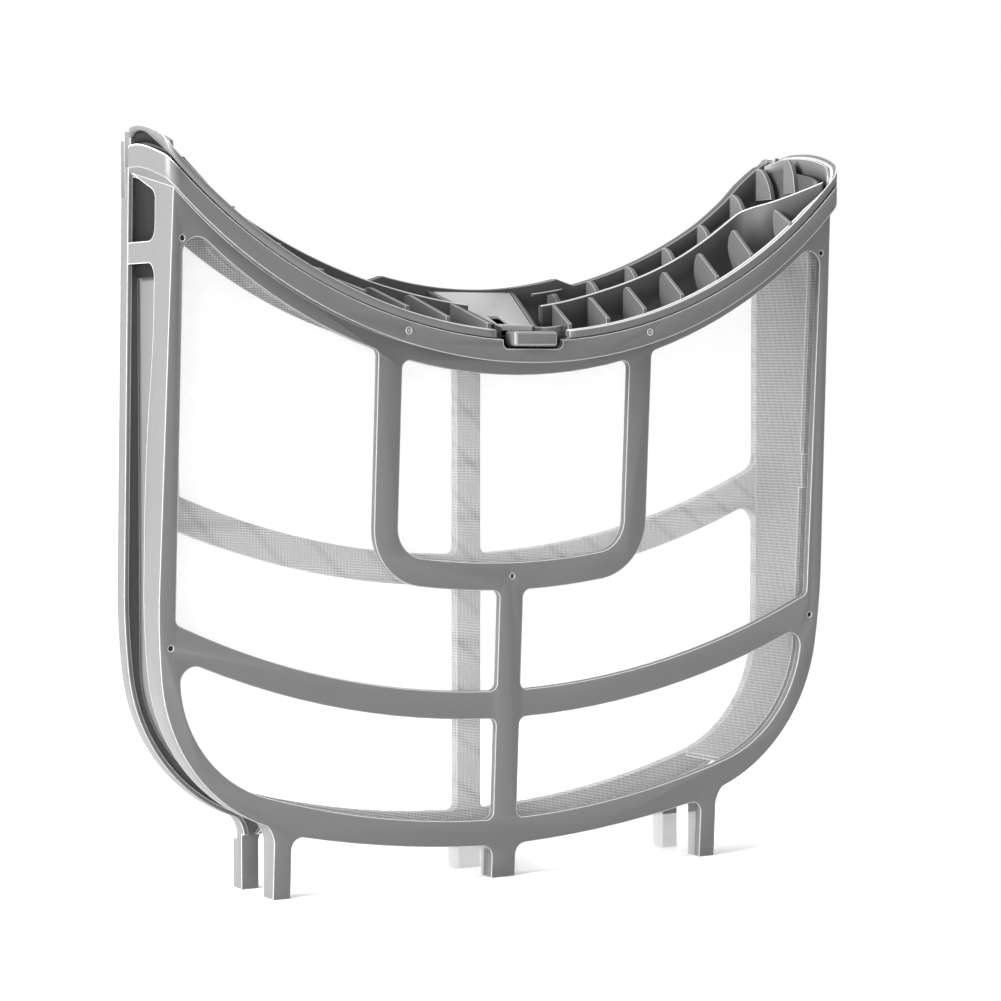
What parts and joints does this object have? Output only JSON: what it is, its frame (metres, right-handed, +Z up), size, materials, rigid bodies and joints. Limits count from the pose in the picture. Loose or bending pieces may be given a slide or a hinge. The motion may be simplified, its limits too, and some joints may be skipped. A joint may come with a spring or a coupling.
{
  "type": "tumble dryer lint filter",
  "caption": "Folding lint filter for a tumble dryer: two moulded frames with woven screens, a curved grille along the top, a push latch and feet.",
  "frame": {"origin": "centre of the bounding box's bottom face: on the surface it stands on, midway across and midway front to back", "axes": "+Z up from the feet, +X across the filter to the right seen from the latch side, +Y from the latch side to the back"},
  "size_m": [0.3412, 0.0666, 0.3259],
  "materials": {
    "frame": "fine satin grey",
    "lock": "fine satin pale grey",
    "screen": "fine white woven monofilament screen",
    "strip": "translucent white film"
  },
  "bodies": {
    "front_half": {"front_frame": "frame", "grille_ring": "frame", "lock_plate": "lock", "front_screen": "screen", "front_strip": "strip"},
    "rear_half": {"rear_frame": "frame", "rear_screen": "screen", "rear_strip": "strip"},
    "latch": {"latch_tab": "frame"}
  },
  "joints": [
    {"name": "fold", "type": "hinge", "parent": "front_half", "child": "rear_half", "pos_m": [0, 0.0119, 0.0008], "axis": [-1, 0, 0], "range_deg": [0, 150]},
    {"name": "latch_push", "type": "slide", "parent": "front_half", "child": "latch", "axis": [0, 1, 0], "range_m": [0, 0.0025], "stiffness_N_per_m": 900}
  ]
}
